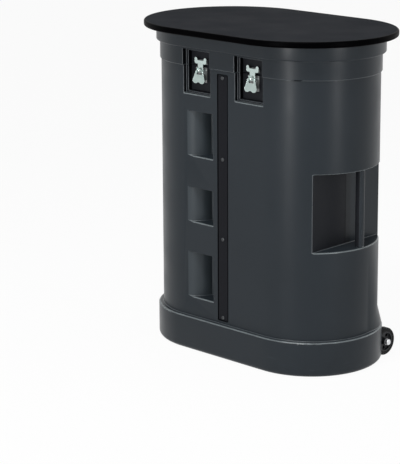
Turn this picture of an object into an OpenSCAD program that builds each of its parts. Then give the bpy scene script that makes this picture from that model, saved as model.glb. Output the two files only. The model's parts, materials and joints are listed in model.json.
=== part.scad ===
// Rolling hard case table: a moulded case on two wheels, a lift-off lid held by
// draw latches, and a folding table top that sits in the lid's dished top.
// Origin: bottom centre. +X runs to the handle end, -Y is the latched front.

/* [Moulded case] */
// Distance from the centre to the centre of each round end
end_x = 171; // [120:1:240]
// Radius of the round ends, and half the width, of the case wall
case_r = 203; // [180:1:240]
// Wall thickness of the mouldings
wall = 6; // [4:0.5:8]
// Height of the seam between case and lid
seam_z = 881; // [840:1:960]
// How far the skirt stands out from the case wall
skirt_out = 15; // [10:1:24]
// Height of the skirt's shoulder
skirt_h = 106; // [100:1:124]
// Rounding of the skirt's lower edge
skirt_low_round = 14; // [6:1:20]
// Rounding of the skirt's shoulder
skirt_top_round = 5; // [2:1:8]
// Height of the rim that the lid drops over
rim_h = 22; // [12:1:34]
// How far the rim is set in from the case wall
rim_in = 4.5; // [3.5:0.5:7]

/* [Lid] */
// How far the lid's lower band stands out from the case wall
lid_low_out = 4; // [2:0.5:6]
// How far the lid's upper band stands out from the case wall
lid_band_out = 15; // [8:1:22]
// Height of the lid's upper band
lid_band_h = 44; // [34:1:50]
// Height of the lid's lower band
lid_low_h = 56; // [54:1:80]
// Depth of the dish in the lid's top
dish_depth = 12; // [8:1:16]
// Gap between the lid's edge and the case
seam_gap = 0.3; // [0.2:0.1:1]
// Sideways clearance between the lid and the case's rim
rim_gap = 1; // [0.5:0.1:2]

/* [Table top] */
// Length of the table top
top_len = 840; // [820:1:900]
// Width of the table top
top_wid = 540; // [520:1:580]
// Thickness of the table top
top_thk = 18.7; // [16:0.1:26]
// Thickness of the top's covering
cover_thk = 1; // [0.6:0.1:2]
// Width of the edge moulding
edge_w = 6; // [4:0.5:10]
// Half the gap between the two halves of the top
fold_gap = 0.3; // [0.2:0.1:1]
// Gap between the top and the lid's rim
top_gap = 0.3; // [0.2:0.1:1]
// Width of the cleats that locate the top in the dish
cleat_w = 20; // [14:1:30]
// Length of each half's long cleat
long_cleat_len = 300; // [200:10:320]

/* [Latches] */
// Distance from the centre to each latch
latch_x = 105; // [90:1:116]
// Half the width of a latch pocket
pocket_half = 55; // [50:1:60]
// Depth of a latch pocket
pocket_depth = 25; // [23:1:30]
// Depth of the step around a latch pocket
pocket_step = 12; // [8:1:14]
// Width of the step around a latch pocket
pocket_ledge = 9; // [6:1:12]
// How far a pocket reaches down from the seam
pocket_down = 84; // [76:1:96]
// How far a pocket reaches up from the seam
pocket_up = 50; // [44:1:54]

/* [Side pockets] */
// Left end of the side pockets
side_pocket_x0 = -146; // [-150:1:-130]
// Right wall of the side pockets
side_pocket_x1 = -40; // [-60:1:-36]
// Depth of the side pockets
side_pocket_depth = 55; // [40:1:58]
// Radius of the pockets' curved back wall
side_pocket_r = 60; // [60:1:80]

/* [Front strip] */
// Width of the front strip
strip_w = 36; // [28:1:44]
// Thickness of the front strip
strip_t = 4; // [3:0.5:6]
// Lower end of the front strip
strip_z0 = 119; // [116:1:160]
// Upper end of the front strip
strip_z1 = 866; // [800:1:866]

/* [Handle] */
// Lower face of the handle recess
handle_z0 = 375; // [320:1:420]
// Upper face of the handle recess
handle_z1 = 607; // [520:1:640]
// Back wall of the handle recess
handle_x = 307; // [290:1:320]
// Width of the grip bar
grip_w = 22; // [18:1:30]
// Depth of the grip bar
grip_d = 26; // [20:1:32]

/* [Wheels] */
// Radius of the wheels
wheel_r = 42.5; // [36:0.5:44]
// Width of the tyres
tyre_w = 26; // [20:1:26]
// Height of the tyres' tread above the hub
tyre_h = 11; // [8:0.5:13]
// Distance of the wheels' centre plane from the middle
wheel_x = 331.5; // [326:0.5:334]
// Distance of the axle behind the middle
axle_y = 153; // [148:1:156]
// Radius of the axle
axle_r = 6; // [4:0.5:8]
// Height of the wheels above the floor
wheel_lift = 0.5; // [0.2:0.1:1.2]
// Clearance around the wheel in its well
well_gap = 6; // [4:0.5:8]

/* [Hidden] */
$fn = 96;
eps = 1;
skirt_r = case_r + skirt_out;
rim_r = case_r - rim_in;
inner_r = case_r - wall;
lid_low_r = case_r + lid_low_out;
lid_band_r = case_r + lid_band_out;
lid_z0 = seam_z + seam_gap;
band_z = seam_z + lid_low_h;
lid_z1 = band_z + lid_band_h;
dish_z = lid_z1 - dish_depth;
dish_r = lid_band_r - 2 * wall;
lid_round = 4;
band_round = 6;

top_z0 = lid_z1 + top_gap;
top_z1 = top_z0 + top_thk;
top_r = top_wid / 2;
top_end_x = top_len / 2 - top_r;
board_r = top_r - edge_w;
edge_round = 5.5;
barb_w = 7;
barb_t = 2.2;
cleat_play = 1.5;
cleat_h = dish_depth - 1;
cleat_r = dish_r - cleat_play;
end_cleat_len = 64;
end_cleat_y = 10;
screw_r = 2;
screw_head_r = 4.2;
screw_head_h = 0.8;
screw_len = 22;
screw_play = 0.05;

pocket_low_ledge = 6;
pocket_back = case_r - pocket_depth;
notch_play = 1.5;

// Latch, measured outwards from the pocket's back wall and upwards from the seam
plate_t = 2;
base_half = 20;
base_low = -50;
base_top = -4;
ear_x = 12.5;
ear_t = 2;
pivot_out = 9;
pivot_up = -6;
hook_pin_out = 8.4;
hook_pin_up = -18;
pin_r = 1.5;
pin_play = 0.06;
cheek_x = 10.7;
cheek_t = 1.5;
shank_half = 10.4;
shank_t = 2;
lever_out = 11.5;
lever_neck = -13;
lever_slot = -26;
lever_low = -52;
lever_half = 24;
lever_tilt = 8;
claw_half = 24;
claw_low = 6;
claw_notch = 16.5;
claw_high = 25;
nose_half = 6;
nose_up = 12.5;
nose_t = 2;
nose_in = 2.8;
keeper_half = 21;
ledge_half = 7;
ledge_out = 6.3;
ledge_t = 3;
ledge_play = 0.5;
keeper_low = 5;
keeper_high = 18;
rivet_r = 1.8;
rivet_head_r = 3.4;
rivet_head_h = 1.2;
base_rivets_at = [[-16, -12], [16, -12], [-16, -44], [16, -44]];
keeper_rivets_at = [[-16.5, 11.5], [16.5, 11.5]];
LATCH = [[-1, -1, "front_left"], [1, -1, "front_right"], [-1, 1, "rear_left"], [1, 1, "rear_right"]];

side_pocket_z = [[168, 309], [405, 511], [609, 745]];
// The curved back starts at a slight angle to the face, so that its edge is crisp
side_pocket_bite = 1;
side_pocket_cx = side_pocket_x0 - sqrt(pow(side_pocket_r, 2) - pow(side_pocket_r - side_pocket_bite, 2));

channel_play = 2.5;
channel_depth = strip_t + 0.5;
strip_screw_inset = 14;
strip_screws_n = 4;
strip_screw_r = 1.8;
strip_screw_head_r = 5.5;
strip_screw_head_h = 2.4;
strip_screw_len = 13;
strip_y = -(case_r - channel_depth);

grip_round = 9;
grip_x = end_x + case_r - grip_d - 1;

axle_z = wheel_r + wheel_lift;
washer_t = 1.4;
washer_r = 10;
well_x0 = wheel_x - tyre_w / 2 - 4.5;
well_x1 = wheel_x + tyre_w / 2 + 2.5;
well_z = axle_z + wheel_r + well_gap;
well_y = axle_y - wheel_r - well_gap;
cheek_end_y = axle_y - 25;
hub_r = wheel_r - tyre_h;
hub_barrel_r = 11;
hub_barrel_w = well_x1 - well_x0 - 2 * washer_t - 0.4;
hub_rim_t = 4.5;
hub_web_t = 8;
hub_holes = 5;
hub_hole_r = 5;
axle_play = 0.05;
axle_hole_play = 0.3;
cap_r = 9;
cap_len = 10;
cap_wall = 2;
axle_half = well_x1 + cap_len - cap_wall;
groove_half = axle_r + 4;
tip_cut = 57;
fairing_top = skirt_h + 54;
fairing_shift = 60;
fairing_a = atan2(axle_y, wheel_x - end_x);

// A 2-D profile, radius to the right and height up, swept round a long oval
module oval_sweep(centre_x) {
    for (s = [-1, 1])
        translate([s * centre_x, 0, 0])
            rotate([0, 0, -90 * s])
                rotate_extrude(angle = 180)
                    children();
    translate([-centre_x, 0, 0])
        rotate([90, 0, 90])
            linear_extrude(2 * centre_x) {
                children();
                mirror([1, 0])
                    children();
            }
}

// A rectangle from the middle out to r, with its two outer corners rounded
module turned(r, z0, z1, low_round, top_round) {
    difference() {
        translate([0, z0])
            square([r, z1 - z0]);
        if (low_round > 0)
            difference() {
                translate([r - low_round, z0 - eps])
                    square([low_round + eps, low_round + eps]);
                translate([r - low_round, z0 + low_round])
                    circle(low_round);
            }
        if (top_round > 0)
            difference() {
                translate([r - top_round, z1 - top_round])
                    square([top_round + eps, top_round + eps]);
                translate([r - top_round, z1 - top_round])
                    circle(top_round);
            }
    }
}

// The four latch pockets: down into the case, or up into the lid, grown by g
module latch_pockets(g, up) {
    reach = up ? pocket_up : pocket_down;
    steps = [
        [pocket_half, pocket_step, reach],
        [pocket_half - pocket_ledge, pocket_depth, reach - pocket_low_ledge]
    ];
    start = g > 0 ? 0 : -eps;
    for (l = LATCH)
        translate([l[0] * latch_x, l[1] * case_r, seam_z])
            mirror([0, l[1] > 0 ? 1 : 0, 0])
                mirror([0, 0, up ? 0 : 1])
                    for (s = steps)
                        translate([-s[0] - g, -skirt_out, start])
                            cube([2 * (s[0] + g), skirt_out + s[1] + g, s[2] + g - start]);
}

// The three pockets beside the strip: flat floor, square right wall, curved back
module side_pockets(g) {
    for (z = side_pocket_z)
        difference() {
            translate([side_pocket_x0 - g, -case_r - eps, z[0] - g])
                cube([
                    side_pocket_x1 - side_pocket_x0 + 2 * g,
                    side_pocket_depth + g + eps,
                    z[1] - z[0] + 2 * g
                ]);
            translate([side_pocket_cx, side_pocket_r - side_pocket_bite - case_r, z[0] - g - eps])
                cylinder(r = side_pocket_r - g, h = z[1] - z[0] + 2 * (g + eps));
        }
}

// The recess across the round end that leaves room for a hand behind the grip
module handle_recess(g) {
    translate([handle_x - g, -skirt_r, handle_z0 - g])
        cube([end_x + skirt_r, 2 * skirt_r, handle_z1 - handle_z0 + 2 * g]);
}

// A wheel well: a slot round the wheel, open below and behind
module wheel_wells(g) {
    for (s = [-1, 1])
        mirror([s < 0 ? 1 : 0, 0, 0]) {
            translate([well_x0 - g, well_y - g, -eps])
                cube([well_x1 - well_x0 + 2 * g, skirt_r, well_z + g + eps]);
            translate([well_x0 - g, cheek_end_y - g, -eps])
                cube([skirt_r, skirt_r, well_z + g + eps]);
        }
}

// The groove under the base that the axle lies in
module axle_groove(g) {
    translate([-well_x0 + wall - g, axle_y - groove_half - g, -eps])
        cube([
            2 * (well_x0 - wall + g),
            2 * (groove_half + g),
            axle_z + groove_half + g + eps
        ]);
}

// The slanted cut behind the wheels that lets the case tip back
module tip_clearance(g) {
    translate([-end_x - skirt_r, skirt_r - tip_cut - g * sqrt(2), 0])
        rotate([45, 0, 0])
            translate([0, 0, -2 * tip_cut])
                cube([2 * (end_x + skirt_r), 3 * tip_cut, 2 * tip_cut]);
}

module strip_channel(g) {
    translate([-strip_w / 2 - channel_play - g, -case_r - eps, strip_z0 - channel_play - g])
        cube([
            strip_w + 2 * (channel_play + g),
            channel_depth + eps + g,
            strip_z1 - strip_z0 + 2 * (channel_play + g)
        ]);
}

module case_recesses(g) {
    latch_pockets(g, false);
    side_pockets(g);
    handle_recess(g);
    wheel_wells(g);
    axle_groove(g);
    tip_clearance(g);
    strip_channel(g);
}

// Clears the rim where the lid's pocket walls come down
module rim_notches() {
    for (l = LATCH)
        translate([
            l[0] * latch_x - pocket_half - wall - notch_play,
            l[1] > 0 ? pocket_back - wall - notch_play : -case_r,
            seam_z
        ])
            cube([
                2 * (pocket_half + wall + notch_play),
                pocket_depth + wall + notch_play,
                rim_h + eps
            ]);
}

// A cone over each wheel that slopes up from the skirt and fades into the wall
module wheel_fairings() {
    for (s = [-1, 1])
        mirror([s < 0 ? 1 : 0, 0, 0])
            translate([
                end_x + fairing_shift * cos(fairing_a),
                fairing_shift * sin(fairing_a),
                skirt_h - skirt_top_round - eps
            ])
                cylinder(
                    r1 = skirt_r - fairing_shift - 0.1,
                    r2 = case_r - fairing_shift,
                    h = fairing_top - skirt_h + skirt_top_round + eps
                );
}

module case_cavity() {
    difference() {
        oval_sweep(end_x) {
            turned(skirt_r - wall, wall, skirt_h - wall, skirt_low_round - wall, 0);
            turned(inner_r, wall, seam_z - wall, 0, 0);
            turned(rim_r - wall, wall, seam_z + rim_h + eps, 0, 0);
        }
        case_recesses(wall);
    }
}

module grip_bar() {
    translate([grip_x, -grip_w / 2, handle_z0 - eps])
        linear_extrude(handle_z1 - handle_z0 + 2 * eps)
            difference() {
                square([grip_d, grip_w]);
                for (x = [0, 1], y = [0, 1])
                    translate([x * grip_d, y * grip_w])
                        mirror([x, 0])
                            mirror([0, y])
                                difference() {
                                    translate([-eps, -eps])
                                        square(grip_round + eps);
                                    translate([grip_round, grip_round])
                                        circle(grip_round);
                                }
            }
}

module axle_holes() {
    for (s = [-1, 1])
        translate([s * (well_x0 - wall / 2), axle_y, axle_z])
            rotate([0, 90, 0])
                cylinder(r = axle_r + axle_hole_play, h = 2 * wall, center = true);
}

// Places children at each screw of the front strip, pointing into the case
module at_strip_screws() {
    for (i = [0 : strip_screws_n - 1])
        translate([
            0,
            strip_y,
            strip_z0 + strip_screw_inset / 2
                + i * (strip_z1 - strip_z0 - strip_screw_inset) / (strip_screws_n - 1)
        ])
            rotate([90, 0, 0])
                children();
}

module strip_screw_holes(play) {
    at_strip_screws()
        translate([0, 0, -strip_screw_len])
            cylinder(r = strip_screw_r + play, h = strip_screw_len + strip_t + eps);
}

// Places children at one latch: outwards is -Y and the seam is Z = 0
module at_latch(l) {
    translate([l[0] * latch_x, l[1] * pocket_back, seam_z])
        mirror([0, l[1] > 0 ? 1 : 0, 0])
            children();
}

module rivet_holes(places) {
    for (p = places)
        translate([p[0], -plate_t - eps, p[1]])
            rotate([-90, 0, 0])
                cylinder(r = rivet_r + screw_play, h = plate_t + wall + 2 * eps);
}

module rivet(p) {
    translate([p[0], -plate_t, p[1]])
        rotate([-90, 0, 0]) {
            cylinder(r = rivet_r, h = plate_t + wall + rivet_head_h);
            translate([0, 0, -rivet_head_h])
                cylinder(r1 = rivet_head_r - 1, r2 = rivet_head_r, h = rivet_head_h);
            translate([0, 0, plate_t + wall])
                cylinder(r1 = rivet_head_r, r2 = rivet_head_r - 1, h = rivet_head_h);
        }
}

module case_shell() {
    color([0.21, 0.23, 0.25]) {
        difference() {
            union() {
                oval_sweep(end_x) {
                    turned(skirt_r, 0, skirt_h, skirt_low_round, skirt_top_round);
                    turned(case_r, skirt_h - eps, seam_z, 0, 0);
                    turned(rim_r, seam_z - eps, seam_z + rim_h, 0, 2);
                }
                wheel_fairings();
            }
            case_cavity();
            case_recesses(0);
            rim_notches();
            axle_holes();
            strip_screw_holes(screw_play);
            for (l = LATCH)
                at_latch(l)
                    rivet_holes(base_rivets_at);
        }
        grip_bar();
    }
}

module lid_shell() {
    color([0.21, 0.23, 0.25])
        difference() {
            oval_sweep(end_x) {
                turned(lid_low_r, lid_z0, band_z + eps, 0, 0);
                turned(lid_band_r, band_z, lid_z1, lid_round, band_round);
            }
            difference() {
                oval_sweep(end_x) {
                    turned(rim_r + rim_gap, lid_z0 - eps, band_z + wall, 0, 0);
                    turned(lid_band_r - wall, band_z + wall - eps, dish_z - wall, 0, 0);
                }
                latch_pockets(wall, true);
            }
            latch_pockets(0, true);
            oval_sweep(end_x)
                turned(dish_r, dish_z, lid_z1 + eps, 0, 0);
            for (l = LATCH)
                at_latch(l)
                    rivet_holes(keeper_rivets_at);
        }
}

module front_strip() {
    color([0.1, 0.1, 0.11])
        difference() {
            translate([-strip_w / 2, strip_y - strip_t, strip_z0])
                cube([strip_w, strip_t, strip_z1 - strip_z0]);
            strip_screw_holes(0.4);
        }
}

module strip_screws() {
    color([0.25, 0.25, 0.26])
        at_strip_screws() {
            translate([0, 0, -strip_screw_len + 1])
                cylinder(r = strip_screw_r, h = strip_screw_len - 1 + strip_t);
            translate([0, 0, strip_t])
                cylinder(r1 = strip_screw_head_r, r2 = strip_screw_head_r - 1.5, h = strip_screw_head_h);
        }
}

module latch_base() {
    color([0.78, 0.8, 0.78])
        difference() {
            union() {
                translate([-base_half, -plate_t, base_low])
                    cube([2 * base_half, plate_t, base_top - base_low]);
                for (s = [-1, 1])
                    translate([s > 0 ? ear_x : -ear_x - ear_t, 0, 0])
                        ear(ear_t);
            }
            cross_hole(pivot_out, pivot_up, pin_r, ear_x + 2 * ear_t);
            rivet_holes(base_rivets_at);
        }
}

// One upright ear of the base, rounded about the lever's pivot
module ear(t) {
    translate([0, -pivot_out, pivot_up])
        rotate([0, 90, 0])
            cylinder(r = 3.5, h = t);
    translate([0, -pivot_out, pivot_up - 3.5])
        cube([t, pivot_out - plate_t / 2, 7]);
}

module cross_hole(out, up, r, half) {
    translate([-half, -out, up])
        rotate([0, 90, 0])
            cylinder(r = r, h = 2 * half);
}

module latch_pivot_pins() {
    color([0.6, 0.62, 0.62])
        for (l = LATCH)
            at_latch(l)
                for (s = [-1, 1])
                    mirror([s < 0 ? 1 : 0, 0, 0])
                        translate([cheek_x, -pivot_out, pivot_up])
                            rotate([0, 90, 0]) {
                                cylinder(r = pin_r, h = ear_x + ear_t - cheek_x);
                                translate([0, 0, ear_x + ear_t - cheek_x])
                                    cylinder(r = pin_r + 1, h = 1);
                            }
}

// The pear-shaped outline of the lever's plate, in X and Z, slotted for the hook
module lever_outline() {
    lobe = 9.5;
    arm = 4;
    difference() {
        union() {
            polygon([
                [-cheek_x - arm + 0.1, lever_neck - arm / 2],
                [cheek_x + arm - 0.1, lever_neck - arm / 2],
                [lever_half - 0.8, lever_low + lobe + 3],
                [-lever_half + 0.8, lever_low + lobe + 3]
            ]);
            for (s = [-1, 1]) {
                translate([s * (cheek_x + arm / 2), lever_neck - arm / 2])
                    circle(arm / 2);
                translate([s * (lever_half - lobe), lever_low + lobe])
                    circle(lobe);
            }
            translate([lobe - lever_half, lever_low])
                square([2 * (lever_half - lobe), 2 * lobe]);
        }
        translate([0, lever_low - 8])
            circle(11.5);
        translate([-cheek_x - cheek_t / 2, lever_slot])
            square([2 * cheek_x + cheek_t, lever_neck - lever_slot + eps]);
    }
}

module latch_lever() {
    color([0.82, 0.84, 0.82])
        difference() {
            union() {
                translate([0, -lever_out, lever_neck])
                    rotate([-lever_tilt, 0, 0])
                        translate([0, 0, -lever_neck])
                            rotate([90, 0, 0])
                                linear_extrude(plate_t)
                                    lever_outline();
                for (s = [-1, 1])
                    mirror([s < 0 ? 1 : 0, 0, 0])
                        translate([cheek_x, 0, 0])
                            lever_cheek();
            }
            cross_hole(pivot_out, pivot_up, pin_r + pin_play, 2 * cheek_x);
            cross_hole(hook_pin_out, hook_pin_up, pin_r, 2 * cheek_x);
        }
}

// One side of the lever, from its pivot down past the hook's pin to the plate
module lever_cheek() {
    foot = lever_slot - 10;
    rotate([90, 0, 90])
        linear_extrude(cheek_t)
            union() {
                translate([-pivot_out, pivot_up])
                    circle(3.2);
                translate([-hook_pin_out, hook_pin_up])
                    circle(3.2);
                polygon([
                    [-pivot_out + 3.1, pivot_up],
                    [-hook_pin_out + 3.1, hook_pin_up],
                    [-lever_out - (lever_neck - foot) * tan(lever_tilt) + 2, foot + 2],
                    [-lever_out - (lever_neck - foot) * tan(lever_tilt) - plate_t / 2, foot],
                    [-lever_out - plate_t / 2, lever_neck],
                    [-pivot_out - 3.1, pivot_up]
                ]);
            }
}

module latch_hook_pin() {
    color([0.6, 0.62, 0.62])
        cross_hole(hook_pin_out, hook_pin_up, pin_r, cheek_x + cheek_t);
}

module latch_hook() {
    eye_r = 2.8;
    color([0.8, 0.82, 0.8])
        difference() {
            union() {
                translate([0, shank_t / 2 - hook_pin_out, 0])
                    rotate([90, 0, 0])
                        linear_extrude(shank_t)
                            claw_outline();
                cross_hole(hook_pin_out, hook_pin_up, eye_r, shank_half);
                translate([-nose_half, -hook_pin_out, nose_up])
                    cube([2 * nose_half, hook_pin_out - nose_in, nose_t]);
                translate([0, -hook_pin_out, -12])
                    rotate([90, 0, 0])
                        cylinder(r1 = 8, r2 = 7, h = 3.6);
            }
            cross_hole(hook_pin_out, hook_pin_up, pin_r + pin_play, 2 * shank_half);
        }
}

// The hook's outline in X and Z: a flat shank that spreads into two horns
module claw_outline() {
    horn = 6.8;
    translate([-shank_half, hook_pin_up])
        square([2 * shank_half, claw_low - hook_pin_up + 2]);
    translate([-claw_half + horn, claw_low])
        square([2 * (claw_half - horn), claw_notch - claw_low]);
    for (s = [-1, 1]) {
        translate([s * (claw_half - horn), claw_low + horn])
            circle(horn);
        translate([s * (claw_half - horn + 1.5), claw_high - horn + 1.3])
            circle(horn - 1.3);
    }
}

module keeper() {
    color([0.78, 0.8, 0.78])
        difference() {
            union() {
                translate([-keeper_half, -plate_t, keeper_low])
                    cube([2 * keeper_half, plate_t, keeper_high - keeper_low]);
                translate([-ledge_half, -ledge_out, nose_up - ledge_play - ledge_t])
                    cube([2 * ledge_half, ledge_out - plate_t / 2, ledge_t]);
            }
            rivet_holes(keeper_rivets_at);
        }
}

module axle() {
    color([0.62, 0.63, 0.65])
        translate([-axle_half, axle_y, axle_z])
            rotate([0, 90, 0])
                cylinder(r = axle_r, h = 2 * axle_half);
}

module axle_washers() {
    color([0.66, 0.67, 0.68])
        for (s = [-1, 1], x = [well_x0, well_x1 - washer_t])
            mirror([s < 0 ? 1 : 0, 0, 0])
                translate([x, axle_y, axle_z])
                    rotate([0, 90, 0])
                        difference() {
                            cylinder(r = washer_r, h = washer_t);
                            translate([0, 0, -eps])
                                cylinder(r = axle_r + axle_play, h = washer_t + 2 * eps);
                        }
}

module axle_caps() {
    color([0.74, 0.75, 0.76])
        for (s = [-1, 1])
            mirror([s < 0 ? 1 : 0, 0, 0])
                translate([well_x1, axle_y, axle_z])
                    rotate([0, 90, 0])
                        difference() {
                            rotate_extrude()
                                turned(cap_r, 0, cap_len, 0, 4);
                            translate([0, 0, -eps])
                                cylinder(r = axle_r + axle_play, h = cap_len - cap_wall + eps);
                        }
}

module at_wheel(s) {
    translate([s * wheel_x, axle_y, axle_z])
        rotate([0, 90 * s, 0])
            children();
}

module wheel_hub() {
    color([0.3, 0.31, 0.33])
        difference() {
            union() {
                translate([0, 0, (well_x0 + well_x1) / 2 - wheel_x - hub_barrel_w / 2])
                    cylinder(r = hub_barrel_r, h = hub_barrel_w);
                cylinder(r = hub_r - eps, h = hub_web_t, center = true);
                difference() {
                    cylinder(r = hub_r, h = tyre_w - 2, center = true);
                    cylinder(r = hub_r - hub_rim_t, h = tyre_w, center = true);
                }
            }
            cylinder(r = axle_r + axle_play, h = 3 * tyre_w, center = true);
            for (i = [0 : hub_holes - 1])
                rotate([0, 0, i * 360 / hub_holes])
                    translate([(hub_barrel_r + hub_r - hub_rim_t) / 2, 0, 0])
                        cylinder(r = hub_hole_r, h = 2 * hub_web_t, center = true);
        }
}

module tyre() {
    color([0.07, 0.07, 0.08])
        difference() {
            rotate_extrude()
                turned(wheel_r, -tyre_w / 2, tyre_w / 2, 6, 6);
            cylinder(r = hub_r, h = 2 * tyre_w, center = true);
        }
}

// Keeps one half of the table top: s is -1 for the front, 1 for the rear
module half_of_top(s) {
    intersection() {
        children();
        translate([-top_len, s > 0 ? fold_gap : -top_wid, lid_z0])
            cube([2 * top_len, top_wid - fold_gap, lid_z1]);
    }
}

module barb_profile(grow) {
    translate([board_r - barb_w - grow, (top_z0 + top_z1) / 2 - barb_t / 2 - grow])
        square([barb_w + grow + eps, barb_t + 2 * grow]);
}

module top_board(s) {
    color([0.45, 0.36, 0.26])
        difference() {
            half_of_top(s)
                oval_sweep(top_end_x)
                    difference() {
                        turned(board_r, top_z0, top_z1 - cover_thk, 0, 0);
                        barb_profile(0.1);
                    }
            at_cleat_screws(s)
                translate([0, 0, -eps])
                    cylinder(r = screw_r + screw_play, h = screw_len - cleat_h + eps);
        }
}

module edge_trim(s) {
    color([0.06, 0.06, 0.065])
        half_of_top(s)
            oval_sweep(top_end_x) {
                difference() {
                    turned(top_r, top_z0, top_z1, edge_round, edge_round);
                    translate([-eps, top_z0 - eps])
                        square([board_r + eps, top_thk + 2 * eps]);
                }
                barb_profile(0);
            }
}

module top_cover(s) {
    color([0.15, 0.155, 0.16])
        half_of_top(s)
            oval_sweep(top_end_x)
                turned(board_r, top_z1 - cover_thk, top_z1, 0, 0);
}

// Under each half: a long cleat along the dish and a short one at each end
module cleats(s) {
    color([0.5, 0.4, 0.28])
        difference() {
            union() {
                translate([-long_cleat_len / 2, s > 0 ? cleat_r - cleat_w : -cleat_r, top_z0 - cleat_h])
                    cube([long_cleat_len, cleat_w, cleat_h]);
                for (e = [-1, 1])
                    translate([
                        e > 0 ? end_cleat_x - cleat_w : -end_cleat_x,
                        s > 0 ? end_cleat_y : -end_cleat_y - end_cleat_len,
                        top_z0 - cleat_h
                    ])
                        cube([cleat_w, end_cleat_len, cleat_h]);
            }
            at_cleat_screws(s)
                translate([0, 0, -cleat_h - eps])
                    cylinder(r = screw_r + 0.3, h = cleat_h + 2 * eps);
        }
}

end_cleat_x = end_x + sqrt(pow(cleat_r, 2) - pow(end_cleat_y + end_cleat_len, 2));

// Places children at each cleat screw of one half, at the board's underside
module at_cleat_screws(s) {
    long_at = [for (i = [-1, 0, 1]) [i * long_cleat_len * 0.4, s * (cleat_r - cleat_w / 2)]];
    end_at = [for (e = [-1, 1], i = [0.2, 0.8])
        [e * (end_cleat_x - cleat_w / 2), s * (end_cleat_y + i * end_cleat_len)]];
    for (p = concat(long_at, end_at))
        translate([p[0], p[1], top_z0])
            children();
}

module cleat_screws(s) {
    color([0.65, 0.66, 0.67])
        at_cleat_screws(s) {
            translate([0, 0, -cleat_h])
                cylinder(r = screw_r, h = screw_len - eps);
            translate([0, 0, -cleat_h - screw_head_h])
                cylinder(r = screw_head_r, h = screw_head_h);
        }
}

case_shell();
lid_shell();
front_strip();
strip_screws();
for (l = LATCH) {
    at_latch(l) latch_base();
    at_latch(l) latch_lever();
    at_latch(l) latch_hook();
    at_latch(l) latch_hook_pin();
    at_latch(l) keeper();
}
latch_pivot_pins();
rivets(base_rivets_at);  // base_rivets
rivets(keeper_rivets_at);  // keeper_rivets
axle();
axle_washers();
axle_caps();
at_wheel(-1) wheel_hub();  // wheel_hub_left
at_wheel(1) wheel_hub();  // wheel_hub_right
at_wheel(-1) tyre();  // tyre_left
at_wheel(1) tyre();  // tyre_right
top_board(-1);  // top_board_front
top_board(1);  // top_board_rear
edge_trim(-1);  // edge_trim_front
edge_trim(1);  // edge_trim_rear
top_cover(-1);  // top_cover_front
top_cover(1);  // top_cover_rear
cleats(-1);  // cleats_front
cleats(1);  // cleats_rear
cleat_screws(-1);  // cleat_screws_front
cleat_screws(1);  // cleat_screws_rear

module rivets(places) {
    color([0.7, 0.72, 0.72])
        for (l = LATCH)
            at_latch(l)
                for (p = places)
                    rivet(p);
}
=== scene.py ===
# %% [markdown]
# # A rolling hard case table, finished for its picture
#
# The case was built beforehand as exact solids: every piece already has its
# real size and its place. This lesson adds what the eye wants on top of that:
# softened edges, pressed metal, a covering that folds, and finishes made of
# nodes. Nothing here moves or resizes a solid. A piece that replaces one sits
# where that one was.

# %% Load the solids and keep their overall box
import json
import math

import bmesh
import bpy
from mathutils import Matrix, Vector


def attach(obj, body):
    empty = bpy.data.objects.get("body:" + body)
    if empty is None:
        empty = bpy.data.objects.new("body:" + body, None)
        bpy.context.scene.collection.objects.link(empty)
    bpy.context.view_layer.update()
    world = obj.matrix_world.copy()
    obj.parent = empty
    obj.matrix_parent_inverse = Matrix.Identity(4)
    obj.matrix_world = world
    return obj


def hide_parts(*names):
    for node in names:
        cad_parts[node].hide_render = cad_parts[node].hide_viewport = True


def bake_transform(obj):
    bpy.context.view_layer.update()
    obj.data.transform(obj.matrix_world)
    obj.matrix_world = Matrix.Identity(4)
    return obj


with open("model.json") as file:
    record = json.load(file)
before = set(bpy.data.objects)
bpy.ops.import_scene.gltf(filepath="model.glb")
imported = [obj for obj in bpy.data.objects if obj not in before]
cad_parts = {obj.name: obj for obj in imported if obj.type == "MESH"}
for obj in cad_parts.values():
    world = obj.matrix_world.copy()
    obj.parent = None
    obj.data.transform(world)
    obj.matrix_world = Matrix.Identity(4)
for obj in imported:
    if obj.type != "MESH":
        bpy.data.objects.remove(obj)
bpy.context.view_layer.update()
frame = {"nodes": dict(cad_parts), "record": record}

MM = 0.001
BODY_OF = {
    node: body
    for body, nodes in frame["record"]["behaviour"]["bodies"].items()
    for node in nodes
}
SLOT_OF = {part["node"]: part["material_slot"] for part in frame["record"]["subparts"]}

# %% [markdown]
# ## Small helpers
#
# An operator works on whatever is selected, and a freshly loaded model is
# selected all over. So `only` clears the selection and takes just the objects
# that the next step needs, and `pick_faces` does the same for the faces of one
# mesh. A finished piece has its place in its mesh, which `apply_place` sees
# to. At the end `seat` hides the solid that a piece stands for and ties the
# piece to the body that carries it.

# %% Helpers for selecting and for finishing a piece
def only(*objects):
    """Select these objects alone, the last one active."""
    if bpy.context.object and bpy.context.object.mode != "OBJECT":
        bpy.ops.object.mode_set(mode="OBJECT")
    bpy.ops.object.select_all(action="DESELECT")
    for obj in objects:
        obj.select_set(True)
        bpy.context.view_layer.objects.active = obj


def pick_faces(obj, wanted):
    """Select the faces that pass a test, enter edit mode and return their number."""
    only(obj)
    bpy.ops.object.mode_set(mode="EDIT")
    bpy.ops.mesh.select_mode(type="FACE")
    bpy.ops.mesh.select_all(action="DESELECT")
    bpy.ops.object.mode_set(mode="OBJECT")
    count = 0
    for face in obj.data.polygons:
        face.select = wanted(face)
        count += face.select
    bpy.ops.object.mode_set(mode="EDIT")
    return count


def apply_place(obj):
    """Put the object's place, turn and size into its mesh."""
    only(obj)
    bpy.ops.object.transform_apply(location=True, rotation=True, scale=True)


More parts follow.
